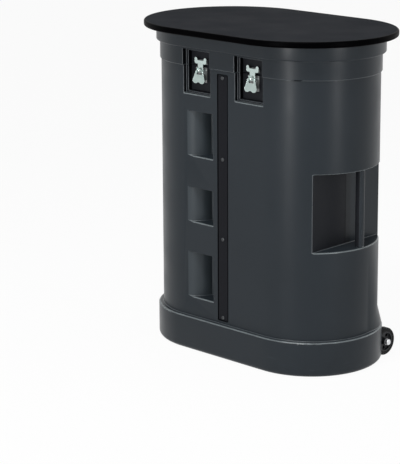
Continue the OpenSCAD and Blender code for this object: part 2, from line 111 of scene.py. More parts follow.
def placed_copy(model, name, place):
    """A copy with its own mesh, put in its place."""
    obj = bpy.data.objects.new(name, model.data.copy())
    bpy.context.scene.collection.objects.link(obj)
    obj.matrix_world = place
    apply_place(obj)
    return obj


def add_and_apply(obj, kind, **settings):
    """Add a modifier, set it up and apply it."""
    only(obj)
    modifier = obj.modifiers.new(kind.lower(), kind)
    for key, value in settings.items():
        setattr(modifier, key, value)
    bpy.ops.object.modifier_apply(modifier=modifier.name)


def paint(obj, *materials):
    """Give a piece its material, or several that its faces choose from."""
    obj.data.materials.clear()
    for material in materials:
        obj.data.materials.append(material)


def seat(obj, node):
    """Let a finished piece stand for its solid, on its body."""
    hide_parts(node)
    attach(obj, BODY_OF[node])


# %% [markdown]
# ## The camera
#
# The photograph was taken from the right of the front, from well above the
# table top. Matching a camera is mostly choosing how far away it stands: the
# nearer it is, the more the far end shrinks. The lens then only sets how much
# of the frame the object fills. The photograph's upright edges stay parallel,
# as a lens with a large shift draws them. Here a small shift has to do, so
# the camera looks down a little and stands farther off.

# %% Place the camera
CAMERA_TURN = math.radians(42.28)    # from the front towards the grip end
CAMERA_PAN = math.radians(0.71)
CAMERA_TILT = math.radians(13.36)
CAMERA_DISTANCE = 5.5
CAMERA_HEIGHT = 1.807
FRAME_SIDE = 464           # the longer side of the frame, in pixels
FOCAL_PIXELS = 1855.0
SENSOR = 36.0              # in millimetres, as the lens is
LENS_SHIFT = -0.1          # as a share of the frame's longer side
FAR_LIMIT = 50

camera_data = bpy.data.cameras.new("camera")
camera = bpy.data.objects.new("camera", camera_data)
bpy.context.scene.collection.objects.link(camera)
bpy.context.scene.camera = camera
camera.location = (
    CAMERA_DISTANCE * math.sin(CAMERA_TURN),
    -CAMERA_DISTANCE * math.cos(CAMERA_TURN),
    CAMERA_HEIGHT,
)
camera.rotation_euler = (math.pi / 2 - CAMERA_TILT, 0, CAMERA_TURN + CAMERA_PAN)
camera_data.sensor_width = SENSOR
camera_data.lens = FOCAL_PIXELS / FRAME_SIDE * SENSOR
camera_data.shift_x = LENS_SHIFT
camera_data.shift_y = LENS_SHIFT
camera_data.clip_end = FAR_LIMIT
print("lens, in millimetres:", round(camera_data.lens, 1))

# %% [markdown]
# ## Floor and surroundings
#
# The object stands on plain white. The floor's colour does that, not strong
# lamps: for the camera and for reflections the floor is a white emitter, and
# for everything else it is an ordinary pale surface that can hold a shadow.
# The world is made the same way: white where it is seen or mirrored, and a
# weak, slightly blue fill for all other rays.

# %% Floor and world
FLOOR_RADIUS = 9
FLOOR_WHITE_SHARE = 0.95   # the rest is matte and holds the shadow
FLOOR_PALE = (0.86, 0.86, 0.86, 1)
WHITE = (1, 1, 1, 1)
ROOM_TINT = (0.95, 0.97, 1.0, 1)
ROOM_FILL = 0.11


def plain_sight(nodes, links):
    """A factor of one for every ray that shows the background itself."""
    path = nodes.new("ShaderNodeLightPath")
    either = nodes.new("ShaderNodeMath")
    either.operation = "MAXIMUM"
    links.new(path.outputs["Is Camera Ray"], either.inputs[0])
    links.new(path.outputs["Is Glossy Ray"], either.inputs[1])
    any_of_three = nodes.new("ShaderNodeMath")
    any_of_three.operation = "MAXIMUM"
    links.new(either.outputs[0], any_of_three.inputs[0])
    links.new(path.outputs["Is Transmission Ray"], any_of_three.inputs[1])
    return any_of_three.outputs[0]


def pale_floor_material():
    """White to look at, and matte for the light that falls on it."""
    material = bpy.data.materials.new("pale_floor")
    material.use_nodes = True
    nodes = material.node_tree.nodes
    links = material.node_tree.links
    nodes.clear()
    out = nodes.new("ShaderNodeOutputMaterial")
    matte = nodes.new("ShaderNodeBsdfDiffuse")
    matte.inputs["Color"].default_value = FLOOR_PALE
    white = nodes.new("ShaderNodeEmission")
    white.inputs["Strength"].default_value = 1.0
    share = nodes.new("ShaderNodeMath")
    share.operation = "MULTIPLY"
    share.inputs[1].default_value = FLOOR_WHITE_SHARE
    mix = nodes.new("ShaderNodeMixShader")
    links.new(plain_sight(nodes, links), share.inputs[0])
    links.new(share.outputs[0], mix.inputs["Fac"])
    links.new(matte.outputs[0], mix.inputs[1])
    links.new(white.outputs[0], mix.inputs[2])
    links.new(mix.outputs[0], out.inputs["Surface"])
    return material


def white_world():
    """White where it is seen or mirrored, and a weak fill elsewhere."""
    world = bpy.data.worlds.new("soft_white")
    bpy.context.scene.world = world
    world.use_nodes = True
    nodes = world.node_tree.nodes
    links = world.node_tree.links
    nodes.clear()
    out = nodes.new("ShaderNodeOutputWorld")
    fill = nodes.new("ShaderNodeBackground")
    fill.inputs["Color"].default_value = ROOM_TINT
    fill.inputs["Strength"].default_value = ROOM_FILL
    white = nodes.new("ShaderNodeBackground")
    white.inputs["Color"].default_value = WHITE
    white.inputs["Strength"].default_value = 1.0
    mix = nodes.new("ShaderNodeMixShader")
    links.new(plain_sight(nodes, links), mix.inputs["Fac"])
    links.new(fill.outputs[0], mix.inputs[1])
    links.new(white.outputs[0], mix.inputs[2])
    links.new(mix.outputs[0], out.inputs["Surface"])


only()
bpy.ops.mesh.primitive_circle_add(
    vertices=96, radius=FLOOR_RADIUS, fill_type="NGON", location=(0, 0, 0)
)
floor = bpy.context.object
floor.name = "floor"
paint(floor, pale_floor_material())
white_world()
bpy.context.scene.view_settings.view_transform = "Standard"
print("floor radius, in metres:", FLOOR_RADIUS)

# %% [markdown]
# ## Lamps
#
# Six soft lamps light the case. Two tall, narrow ones stand in front and at
# the grip end: a glossy wall mirrors a lamp as a slow vertical gradient, and
# it shows one only as high as the lamp itself reaches. One lamp above the
# front lights the pockets' lips and the skirt's shoulder, one hangs overhead,
# and two weak ones keep the far sides from going black.

# %% Six lamps
UPPER_PART = (0, 0, 0.9)
MIDDLE = (0, 0, 0.55)


def around(turn_degrees, distance, height):
    """A place by its turn from the front towards the grip end."""
    turn = math.radians(turn_degrees)
    return (distance * math.sin(turn), -distance * math.cos(turn), height)


def soft_lamp(name, place, target, size, power):
    """A square-edged lamp that faces its target and isn't seen itself."""
    data = bpy.data.lights.new(name, "AREA")
    data.shape = "RECTANGLE"
    data.size, data.size_y = size
    data.energy = power
    lamp = bpy.data.objects.new(name, data)
    bpy.context.scene.collection.objects.link(lamp)
    lamp.location = place
    direction = Vector(target) - lamp.location
    lamp.rotation_euler = direction.to_track_quat("-Z", "Y").to_euler()
    lamp.visible_camera = False


# each lamp's place, what it faces, its width and height in metres, and its watts
LAMPS = {
    "front": (around(8, 3.2, 1.0), UPPER_PART, (0.4, 1.8), 36),
    "grip_end": (around(82, 3.2, 1.1), UPPER_PART, (0.35, 1.8), 24),
    "front_left": (around(-80, 3.2, 1.5), MIDDLE, (1.4, 2.2), 2),
    "behind_right": (around(160, 3.0, 1.6), MIDDLE, (1.2, 2.2), 5),
    "overhead": ((0.1, 0.3, 3.3), MIDDLE, (1.4, 1.2), 20),
    "above_front": ((0.5, -1.3, 3.1), MIDDLE, (1.2, 0.8), 50),
}
for name, settings in LAMPS.items():
    soft_lamp(name, *settings)
print("lamps:", list(LAMPS))

# %% [markdown]
# ## Effects that several finishes share
#
# Four effects come back in several finishes, so each is a node group with its
# own inputs: the fine pebble that a textured mould leaves, the slow cloudy
# variation of colour and gloss that any large moulding shows, the hair-fine
# lines of handled metal, and scuffs that gather near the floor. All of them
# read Object coordinates. Every finished piece sits at the origin unscaled,
# so one unit there is one real metre, and 900 grains per metre are each about
# a millimetre across.

# %% Building blocks for the groups
def new_group(name, inputs, outputs):
    """A shader group with named float inputs and outputs, and its place in the object."""
    group = bpy.data.node_groups.new(name, "ShaderNodeTree")
    for label, value in inputs:
        socket = group.interface.new_socket(label, in_out="INPUT", socket_type="NodeSocketFloat")
        socket.default_value = value
    for label in outputs:
        group.interface.new_socket(label, in_out="OUTPUT", socket_type="NodeSocketFloat")
    start = group.nodes.new("NodeGroupInput")
    end = group.nodes.new("NodeGroupOutput")
    place = group.nodes.new("ShaderNodeTexCoord").outputs["Object"]
    return group, start, end, place


def math_node(tree, operation, *values):
    """A Math node whose inputs are sockets or plain numbers."""
    node = tree.nodes.new("ShaderNodeMath")
    node.operation = operation
    for slot, value in zip(node.inputs, values):
        if isinstance(value, bpy.types.NodeSocket):
            tree.links.new(value, slot)
        else:
            slot.default_value = value
    return node.outputs[0]


def noise_node(tree, vector, scale, detail, stretch=None):
    """Noise on a vector, optionally stretched first."""
    if stretch:
        mapping = tree.nodes.new("ShaderNodeMapping")
        mapping.inputs["Scale"].default_value = stretch
        tree.links.new(vector, mapping.inputs["Vector"])
        vector = mapping.outputs[0]
    node = tree.nodes.new("ShaderNodeTexNoise")
    node.inputs["Detail"].default_value = detail
    tree.links.new(vector, node.inputs["Vector"])
    if isinstance(scale, bpy.types.NodeSocket):
        tree.links.new(scale, node.inputs["Scale"])
    else:
        node.inputs["Scale"].default_value = scale
    return node.outputs["Fac"]


# %% Node groups for the four effects
NOISE_LOW, NOISE_HIGH = 0.3, 0.7             # nearly all noise lies between these
LINE_STRETCH = (1.0, 1.0, 0.06)              # long along Z, as a hand wipes metal
HAND_MARKS_PER_METRE = 90.0
SCRATCHES_PER_METRE, SCRATCH_STRETCH = 60.0, (0.35, 0.35, 3.0)
SCRATCH_LOW, SCRATCH_HIGH = 0.60, 0.72       # only the peaks of the noise are scratches


def pebble_group():
    """Round grains with a finer noise on them."""
    group, start, end, place = new_group(
        "mould_pebble", [("Grains per metre", 700.0)], ["Height"]
    )
    cells = group.nodes.new("ShaderNodeTexVoronoi")
    cells.feature = "SMOOTH_F1"
    group.links.new(place, cells.inputs["Vector"])
    group.links.new(start.outputs[0], cells.inputs["Scale"])
    fine = noise_node(group, place, start.outputs[0], detail=3.0)
    grain = math_node(group, "ADD", cells.outputs["Distance"], fine)
    group.links.new(math_node(group, "MULTIPLY", grain, 0.5), end.inputs["Height"])
    return group


def cloud_group():
    """A value that drifts between a lowest and a highest."""
    group, start, end, place = new_group(
        "slow_cloud", [("Clouds per metre", 5.0), ("Lowest", 0.9), ("Highest", 1.1)], ["Value"]
    )
    cloud = noise_node(group, place, start.outputs["Clouds per metre"], detail=4.0)
    spread = group.nodes.new("ShaderNodeMapRange")
    spread.inputs["From Min"].default_value = NOISE_LOW
    spread.inputs["From Max"].default_value = NOISE_HIGH
    group.links.new(cloud, spread.inputs["Value"])
    group.links.new(start.outputs["Lowest"], spread.inputs["To Min"])
    group.links.new(start.outputs["Highest"], spread.inputs["To Max"])
    group.links.new(spread.outputs["Result"], end.inputs["Value"])
    return group


def hairline_group():
    """Fine upright lines, and a mask of where hands have rubbed them."""
    group, start, end, place = new_group(
        "hairlines", [("Lines per metre", 1500.0)], ["Height", "Mask"]
    )
    lines = noise_node(group, place, start.outputs[0], detail=1.0, stretch=LINE_STRETCH)
    marks = noise_node(group, place, HAND_MARKS_PER_METRE, detail=3.0)
    mask = math_node(group, "MULTIPLY", lines, marks)
    group.links.new(lines, end.inputs["Height"])
    group.links.new(mask, end.inputs["Mask"])
    return group


def scuff_group():
    """Flat scratches that fade out at a given height above the floor."""
    group, start, end, place = new_group("floor_scuffs", [("Top in metres", 0.09)], ["Mask"])
    split = group.nodes.new("ShaderNodeSeparateXYZ")
    group.links.new(place, split.inputs[0])
    height = group.nodes.new("ShaderNodeMapRange")
    group.links.new(split.outputs["Z"], height.inputs["Value"])
    group.links.new(start.outputs[0], height.inputs["From Max"])
    height.inputs["To Min"].default_value = 1.0
    height.inputs["To Max"].default_value = 0.0
    scratch = noise_node(
        group, place, SCRATCHES_PER_METRE, detail=6.0, stretch=SCRATCH_STRETCH
    )
    sharp = group.nodes.new("ShaderNodeMapRange")
    sharp.inputs["From Min"].default_value = SCRATCH_LOW
    sharp.inputs["From Max"].default_value = SCRATCH_HIGH
    group.links.new(scratch, sharp.inputs["Value"])
    mask = math_node(group, "MULTIPLY", height.outputs["Result"], sharp.outputs["Result"])
    group.links.new(mask, end.inputs["Mask"])
    return group


PEBBLE = pebble_group()
CLOUD = cloud_group()
HAIRLINES = hairline_group()
SCUFFS = scuff_group()
print("effects ready:", [group.name for group in (PEBBLE, CLOUD, HAIRLINES, SCUFFS)])

# %% [markdown]
# ## From effects to materials
#
# A finish is a Principled shader whose colour and roughness vary a little and
# whose surface carries a bump. One function sets that up from a few plain
# numbers, so each material below is a short entry that says what it is: how
# dark, how glossy, how coarse its grain.

# %% A material from a few numbers
BUMP_DEPTH = 0.15 * MM
GLOSS_TO_COLOUR_CLOUDS = 2.3                 # the gloss varies in smaller clouds
SCUFF_TOP = 0.1
SCUFF_GAIN, SCUFF_LIFT = 2.2, 0.01           # scuffs are this much lighter


def place_group(tree, group, **values):
    """One of the effects, with its own values."""
    node = tree.nodes.new("ShaderNodeGroup")
    node.node_tree = group
    for label, value in values.items():
        node.inputs[label.replace("_", " ")].default_value = value
    return node


def clouded(tree, middle, spread, clouds):
    """A value that drifts by a spread to both sides of its middle."""
    return place_group(
        tree, CLOUD, Clouds_per_metre=clouds, Lowest=middle - spread, Highest=middle + spread
    ).outputs["Value"]


def tinted(tree, colour, factor):
    """The base colour times a slowly varying factor."""
    mix = tree.nodes.new("ShaderNodeVectorMath")
    mix.operation = "SCALE"
    mix.inputs[0].default_value = colour
    tree.links.new(factor, mix.inputs["Scale"])
    return mix.outputs[0]


def scuffed(tree, colour, base, strength):
    """The base colour with lighter scuffs near the floor."""
    worn = place_group(tree, SCUFFS, Top_in_metres=SCUFF_TOP).outputs["Mask"]
    lighter = tree.nodes.new("ShaderNodeMix")
    lighter.data_type = "RGBA"
    tree.links.new(math_node(tree, "MULTIPLY", worn, strength), lighter.inputs["Factor"])
    tree.links.new(base, lighter.inputs["A"])
    scuff_colour = [channel * SCUFF_GAIN + SCUFF_LIFT for channel in colour]
    lighter.inputs["B"].default_value = (*scuff_colour, 1)
    return lighter.outputs["Result"]


def finish(name, colour, roughness, metallic=0.0, grain=0.0, grains=700.0, clouds=5.0,
           spread=0.06, gloss_spread=0.05, hairline=0.0, scuffs=0.0, specular=0.5):
    """A material; grain and hairline are strengths, grains and clouds are per metre."""
    material = bpy.data.materials.new(name)
    material.use_nodes = True
    tree = material.node_tree
    shader = tree.nodes["Principled BSDF"]
    shader.inputs["Metallic"].default_value = metallic
    shader.inputs["Specular IOR Level"].default_value = specular
    base = tinted(tree, colour, clouded(tree, 1, spread, clouds))
    gloss = clouded(tree, roughness, gloss_spread, clouds * GLOSS_TO_COLOUR_CLOUDS)
    height = None
    if grain:
        height = place_group(tree, PEBBLE, Grains_per_metre=grains).outputs["Height"]
    if hairline:
        lines = place_group(tree, HAIRLINES, Lines_per_metre=grains)
        height = lines.outputs["Height"]
        rubbed = math_node(tree, "MULTIPLY", lines.outputs["Mask"], hairline)
        gloss = math_node(tree, "ADD", gloss, rubbed)
    if scuffs:
        base = scuffed(tree, colour, base, scuffs)
    tree.links.new(base, shader.inputs["Base Color"])
    tree.links.new(gloss, shader.inputs["Roughness"])
    if height:
        bump = tree.nodes.new("ShaderNodeBump")
        bump.inputs["Strength"].default_value = grain or hairline
        bump.inputs["Distance"].default_value = BUMP_DEPTH
        tree.links.new(height, bump.inputs["Height"])
        tree.links.new(bump.outputs[0], shader.inputs["Normal"])
    return material


# %% [markdown]
# ## The finishes of this case
#
# The case is one dark slate grey, slightly blue. Its lid is the same plastic.
# The strip is smoother and a shade darker, the latches are bright nickel, the
# edge moulding is black, and the table top is a matte charcoal covering.

# %% One finish for each slot of the record
FINISH = {
    "moulded_shell": finish(
        "slate_moulded_shell", (0.0165, 0.0218, 0.0272), 0.35,
        grain=0.25, scuffs=0.3, specular=0.2,
    ),
    "strip": finish(
        "smooth_dark_strip", (0.0048, 0.0053, 0.0078), 0.42,
        grain=0.1, grains=1600.0, specular=0.1,
    ),
    "dark_screw": finish(
        "blackened_screw", (0.075, 0.079, 0.083), 0.34, metallic=0.8, hairline=0.1
    ),
    "latch_plate": finish(
        "bright_nickel", (0.52, 0.61, 0.59), 0.22, metallic=1.0,
        hairline=0.12, clouds=60.0, spread=0.05,
    ),
    # Base plates and keepers: dull zinc, darkened further as painted shade.
    "latch_back": finish(
        "dull_zinc_and_painted_shade", (0.3, 0.31, 0.31), 0.42, metallic=0.85,
        hairline=0.15, clouds=40.0, spread=0.1,
    ),
    "pin_steel": finish(
        "turned_steel", (0.5, 0.51, 0.52), 0.3, metallic=1.0, hairline=0.15
    ),
    "axle_steel": finish(
        "drawn_steel", (0.42, 0.42, 0.43), 0.36, metallic=1.0, hairline=0.2
    ),
    "cap_metal": finish(
        "pressed_cap", (0.72, 0.73, 0.75), 0.28, metallic=0.9, hairline=0.1
    ),
    "hub": finish(
        "wheel_grey_plastic", (0.016, 0.017, 0.02), 0.4,
        grain=0.2, grains=1200.0, specular=0.25,
    ),
    "tyre": finish(
        "solid_rubber", (0.004, 0.004, 0.0045), 0.6,
        grain=0.5, grains=900.0, scuffs=0.25, specular=0.15,
    ),
    "board": finish(
        "fibreboard", (0.3, 0.2, 0.12), 0.8, grain=0.6, grains=1500.0, spread=0.15
    ),
    "edge": finish(
        "black_edge_moulding", (0.0003, 0.0003, 0.0005), 0.4,
        grain=0.05, grains=1400.0, specular=0.01,
    ),
    "cover": finish(
        "charcoal_covering", (0.0060, 0.0072, 0.0096), 0.72,
        grain=0.25, grains=1100.0, specular=0.03, clouds=3.0, spread=0.05,
    ),
    "cleat": finish(
        "planed_softwood", (0.42, 0.3, 0.18), 0.65,
        hairline=0.3, grains=900.0, spread=0.14, clouds=14.0,
    ),
}
print("finishes:", sorted(FINISH))

# %% [markdown]
# Some pieces need more than one finish. The moulding's edges are polished and
# painted lighter as a highlight, its latch pockets and hand recess are smooth
# and painted darker as shade, its lips carry a painted highlight, its side
# pockets' walls are painted lighter as if lit, and its deep corners are painted
# dark as shade. A latch's lever is satin inside its pressed border, and a ring
# round the boss of its hook is painted dark as shade.

# %% Finishes for parts of a piece
# The moulding's rounds: polished, and painted lighter as a highlight.
EDGE_HIGHLIGHT_FINISH = finish(
    "polished_edge_painted_highlight", (0.048, 0.058, 0.066), 0.3, grain=0.08, specular=0.5
)
# Latch pockets, hand recess and the grip's inner sides: smooth, and painted darker as shade.
RECESS_SHADE_FINISH = finish(
    "smooth_recess_painted_shade", (0.0112, 0.0124, 0.0155), 0.5, grain=0.1, specular=0.12
)
# Lips and the skirt's shoulder: a painted highlight.
LIP_HIGHLIGHT_FINISH = finish(
    "lip_painted_highlight", (0.12, 0.14, 0.148), 0.26,
    grain=0.08, specular=0.5, spread=0.12, clouds=18.0,
)
PANEL_FINISH = finish(
    "satin_nickel_panel", (0.40, 0.48, 0.46), 0.38, metallic=1.0, hairline=0.12, clouds=60.0
)
# The ring on the hook's boss: painted dark as shade in the groove.
GROOVE_SHADE_FINISH = finish(
    "groove_painted_shade", (0.06, 0.075, 0.07), 0.5, metallic=0.9, hairline=0.12, clouds=60.0
)
# Deep corners, pocket side walls and channel walls: painted dark as shade.
CORNER_SHADE_FINISH = finish(
    "corner_painted_shade", (0.0028, 0.0032, 0.0042), 0.6, specular=0.03
)
# The side pockets' walls: painted lighter as if lit.
POCKET_LIGHT_FINISH = finish(
    "pocket_wall_painted_light", (0.036, 0.045, 0.052), 0.4, grain=0.15, specular=0.25
)
print("materials in all:", len(bpy.data.materials))

# %% [markdown]
# ## Every solid gets its finish
#
# Most solids already have the right shape: pins, rivets, washers, the axle,
# the boards and the cleats under the top. They keep their meshes and only
# take their finish from the slot that the record names.

# %% Finish the solids
for node, solid in frame["nodes"].items():
    paint(solid, FINISH[SLOT_OF[node]])
print("solids with a finish:", len(frame["nodes"]))

# %% [markdown]
# ## Softened edges on the mouldings
#
# A moulded case has no knife edges: plastic can't fill one, so every rim and
# pocket has a small round that catches the light. The solid has crisp edges,
# so a copy of its mesh is merged, its flat triangles are joined into whole
# faces, and a bevel rounds the long, sharp edges. The edges of small holes
# are left alone, because a rivet or a screw covers them. The bevel's new faces
# can take a finish of their own: polished, and painted lighter as a highlight.

# %% A merged copy of a solid, and rounds on its edges
MERGE_WITHIN = 0.005 * MM
FLAT_WITHIN = math.radians(0.4)
SAME_FINISH = -1           # a bevel's new faces then keep their neighbours' finish


def merged_copy(node, name):
    """A new object with the solid's mesh, merged and with its flat faces joined."""
    obj = bpy.data.objects.new(name, frame["nodes"][node].data.copy())
    bpy.context.scene.collection.objects.link(obj)
    only(obj)
    bpy.ops.object.mode_set(mode="EDIT")
    bpy.ops.mesh.select_all(action="SELECT")
    bpy.ops.mesh.remove_doubles(threshold=MERGE_WITHIN)
    bpy.ops.mesh.customdata_custom_splitnormals_clear()
    bpy.ops.mesh.dissolve_limited(angle_limit=FLAT_WITHIN)
    bpy.ops.object.mode_set(mode="OBJECT")
    return obj


def full_width(place):
    """Every edge gets the whole width of its round."""
    return 1.0


def soften(obj, width, sharper_than=30, longer_than=3 * MM, segments=3,
           edge_finish=SAME_FINISH, share_of_width=full_width):
    """Round every edge that is sharp and long enough, by its share of the width."""
    mesh = bmesh.new()
    mesh.from_mesh(obj.data)
    weight = mesh.edges.layers.float.get("bevel_weight_edge")
    if weight is None:
        weight = mesh.edges.layers.float.new("bevel_weight_edge")
    chosen = 0
    for edge in mesh.edges:
        if len(edge.link_faces) != 2 or edge.calc_length() < longer_than:
            continue
        if edge.calc_face_angle(0) > math.radians(sharper_than):
            edge[weight] = share_of_width((edge.verts[0].co + edge.verts[1].co) / 2)
            chosen += 1
    mesh.to_mesh(obj.data)
    mesh.free()
    add_and_apply(
        obj, "BEVEL", limit_method="WEIGHT", width=width, segments=segments,
        use_clamp_overlap=False, miter_outer="MITER_ARC", harden_normals=False,
        material=edge_finish,
    )
    print(obj.name, "sharp edges:", chosen, "faces:", len(obj.data.polygons))


# %% [markdown]
# ## Even shading
#
# Smooth shading blends the directions of neighbouring faces. Beside a narrow
# round that would bend the light far into a flat wall, so each direction is
# weighted by its face's area. The long curved walls of the case and the lid
# already have exact directions in the solid, and a copy takes those over
# wherever the two surfaces agree.

# %% Shade a piece, and soften a whole one
NEAR_THE_SOLID = 0.04 * MM
CRISP = math.radians(40)


def even_shading(obj, degrees=32):
    """Smooth shading in which large flat faces stay flat up to their edges."""
    only(obj)
    bpy.ops.object.shade_smooth_by_angle(angle=math.radians(degrees))
    add_and_apply(obj, "WEIGHTED_NORMAL", mode="FACE_AREA", weight=50, keep_sharp=True)


def shading_of(obj, node):
    """Even shading that takes the solid's own directions wherever both surfaces agree."""
    even_shading(obj)
    mesh = bmesh.new()
    mesh.from_mesh(obj.data)
    calm = [
        point.index for point in mesh.verts
        if all(len(edge.link_faces) == 2 and edge.calc_face_angle(0) < CRISP
               for edge in point.link_edges)
    ]
    mesh.free()
    group = obj.vertex_groups.new(name="on_the_solid")
    group.add(calm, 1.0, "REPLACE")
    add_and_apply(
        obj, "DATA_TRANSFER", object=frame["nodes"][node], use_loop_data=True,
        data_types_loops={"CUSTOM_NORMAL"}, loop_mapping="POLYINTERP_NEAREST",
        use_max_distance=True, max_distance=NEAR_THE_SOLID, vertex_group=group.name,
    )
    obj.vertex_groups.clear()


def softened(node, name, width, **settings):
    """A softened copy, painted and seated in place of its solid."""
    obj = merged_copy(node, name)
    paint(obj, FINISH[SLOT_OF[node]])
    soften(obj, width, **settings)
    even_shading(obj)
    seat(obj, node)


# %% [markdown]
# ## The case and the lid
#
# The case and the lid are one plastic in several finishes: the pebbled
# outside, polished edges painted lighter as a highlight, the smooth latch
# pockets and hand recess painted darker as shade, lips with a painted
# highlight, the side pockets' walls painted lighter as if lit, and deep
# corners painted dark as shade. Every face gets its finish by where
# it lies, so the features' places are written down first, as limits along
# each axis.

# %% Where the features of the case lie, in metres
END_AXIS_X = 0.171         # the axes of the two round ends stand at plus and minus this
WALL_MIDDLE = 0.2          # the middle of the case's wall, measured from those axes
OUTER_SKIN = 0.2015        # a little inside the case's outer skin
SEAM_Z = 0.881             # the seam under the lid
LATCH_X = 0.105            # the middle of a latch pocket

GRIP_Z = (0.372, 0.610)
RECESS_BACK_X = (0.300, 0.330)
LATCH_POCKET = {"x": (0.0498, 0.1602), "y": (0.170, 0.2025), "z": (0.790, 0.936)}
LATCH_POCKET_BACK = {"y": (0.170, 0.186), "z": (0.790, 1.0)}
HAND_RECESS = {"x": (0.300, 0.340), "z": GRIP_Z}
GRIP = {"x": (0.340, 1.0), "y": (-0.0112, 0.0112), "z": GRIP_Z}
BACK_BEHIND_GRIP = {"x": RECESS_BACK_X, "y": (0.0113, 1.0), "z": GRIP_Z}
SIDE_POCKET_WALLS = {"x": (-0.147, -0.042), "y": (-0.2026, -0.1), "z": (0.165, 0.748)}
STRIP_CHANNEL = {"x": (-0.0215, 0.0215), "y": (-0.2029, -0.18), "z": (0.11, 0.872)}
CHANNEL_EDGES = {"x": (-0.0235, 0.0235), "y": (-1.0, -0.18), "z": (0.11, 0.872)}


def inside(place, x=None, y=None, z=None):
    """True where a place keeps every limit that is given."""
    return all(
        limits is None or limits[0] < value < limits[1]
        for value, limits in zip(place, (x, y, z))
    )


def one_quarter(place):
    """The same place in the quarter at the back right, because the four latch pockets match."""
    return (abs(place.x), abs(place.y), place.z)


def from_axis(place):
    """Distance from the line that joins the axes of the two round ends."""
    return math.hypot(max(abs(place.x) - END_AXIS_X, 0), place.y)


def near_any(height, levels, reach):
    """True within reach of one of the levels."""
    return min(abs(height - level) for level in levels) < reach


print("latch pocket, in metres:", LATCH_POCKET)

# %% [markdown]
# Now the tests on a face. A wall is told from a floor by its normal: one that
# points along X belongs to a side wall, and one along Z to a floor or ceiling.

# %% Which faces take which finish
def is_shaded_recess(face):
    """True in the latch pockets, the hand recess and on the grip's inner sides, which take
    painted shade.
    """
    centre = face.center
    in_latch_pocket = inside(one_quarter(centre), **LATCH_POCKET)
    behind_wall = math.hypot(centre.x - END_AXIS_X, centre.y) < WALL_MIDDLE
    in_hand_recess = behind_wall and inside(centre, **HAND_RECESS)
    on_grip = face.normal.x < 0.3 and inside(centre, **GRIP)
    return in_latch_pocket or in_hand_recess or on_grip


def is_pocket_wall(face):
    """True on the hollowed wall of the three side pockets."""
    return abs(face.normal.z) < 0.3 and inside(face.center, **SIDE_POCKET_WALLS)


def is_shaded_corner(face):
    """True on side walls of latch pockets and strip channel, and deep in side pockets."""
    is_side_wall = abs(face.normal.x) > 0.5
    on_latch_wall = is_side_wall and inside(one_quarter(face.center), **LATCH_POCKET)
    on_channel_wall = is_side_wall and inside(face.center, **STRIP_CHANNEL)
    at_deep_end = face.normal.x < -0.8 and is_pocket_wall(face)
    return on_latch_wall or on_channel_wall or at_deep_end


def is_recess_back(face):
    """True on the back wall of the hand recess."""
    is_upright = abs(face.normal.x) > 0.9
    return is_upright and is_shaded_recess(face) and inside(face.center, x=RECESS_BACK_X)


# %% [markdown]
# Only the edges that are seen are rounded: inside the thin walls, rounds from
# both sides of a rib would run into each other. The lower lips, which hands
# rub, are rounded furthest. Where a side pocket runs out thin, its lip gets an
# extra point, so that the round can taper.

# %% Which edges are rounded, and how far
SEEN_ON_CASE, SEEN_ON_LID = 0.1985, 0.2005      # farther from the axes than this is outside
LATCH_POCKET_EDGES = {"x": (0.0496, 0.1604), "y": (0.1775, 1.0), "z": (0.79, 0.94)}
HAND_RECESS_EDGES = {"x": (0.3065, 1.0), "z": (0.3745, 0.6075)}
SIDE_POCKET_EDGES = {"x": (-0.147, -0.0395), "y": (-0.203, -0.14)}
SIDE_POCKET_HEIGHTS = ((0.168, 0.309), (0.405, 0.511), (0.609, 0.745))
SIDE_LIP_HEIGHTS = tuple(low for low, high in SIDE_POCKET_HEIGHTS)
LIP_HEIGHTS = (*SIDE_LIP_HEIGHTS, 0.375, 0.797)      # and those of the hand recess and latches
SIDE_LIP_TAPER = -0.122    # left of this X the side pockets are too shallow for a full round
TAPER_MARGIN = 5 * MM
LIP_SHARE, TAPERED_SHARE, EDGE_SHARE = 1.0, 0.3, 0.45
SPARE = 0.5 * MM
AT_LIP = 1 * MM


def is_seen(place):
    """True outside the skin and in its hollows, and False on the inside of the walls."""
    skin = SEEN_ON_CASE if place.z < SEAM_Z + SPARE else SEEN_ON_LID
    in_side_pocket = inside(place, **SIDE_POCKET_EDGES) and any(
        low - SPARE < place.z < high + SPARE for low, high in SIDE_POCKET_HEIGHTS
    )
    in_latch_pocket = inside(one_quarter(place), **LATCH_POCKET_EDGES)
    in_hand_recess = inside(place, **HAND_RECESS_EDGES)
    return from_axis(place) > skin or in_side_pocket or in_latch_pocket or in_hand_recess


def round_share(place):
    """How much of the full width an edge is rounded by."""
    if not is_seen(place):
        return 0.0
    if from_axis(place) < OUTER_SKIN or not near_any(place.z, LIP_HEIGHTS, AT_LIP):
        return EDGE_SHARE
    tapers = place.x < SIDE_LIP_TAPER and near_any(place.z, SIDE_LIP_HEIGHTS, AT_LIP)
    return TAPERED_SHARE if tapers else LIP_SHARE


def split_side_lips(obj):
    """Add a point to each side pocket's lip, so that its round can taper off."""
    mesh = bmesh.new()
    mesh.from_mesh(obj.data)
    count = 0
    for edge in list(mesh.edges):
        left, right = sorted(edge.verts, key=lambda point: point.co.x)
        at_lip = all(
            near_any(point.co.z, SIDE_LIP_HEIGHTS, AT_LIP) and point.co.y < -OUTER_SKIN
            for point in edge.verts
        )
        starts_left = left.co.x < SIDE_LIP_TAPER - TAPER_MARGIN
        ends_right = right.co.x > SIDE_LIP_TAPER + TAPER_MARGIN
        if at_lip and starts_left and ends_right:
            share = (SIDE_LIP_TAPER - left.co.x) / (right.co.x - left.co.x)
            bmesh.utils.edge_split(edge, left, share)
            count += 1
    mesh.to_mesh(obj.data)
    mesh.free()
    print(obj.name, "lips split:", count)


def split_recess_back(obj):
    """Cut the back of the hand recess in two: painted shade before the grip, the body's colour
    behind it.
    """
    if pick_faces(obj, is_recess_back):
        bpy.ops.mesh.bisect(plane_co=(0, 0, 0), plane_no=(0, 1, 0))
    bpy.ops.object.mode_set(mode="OBJECT")
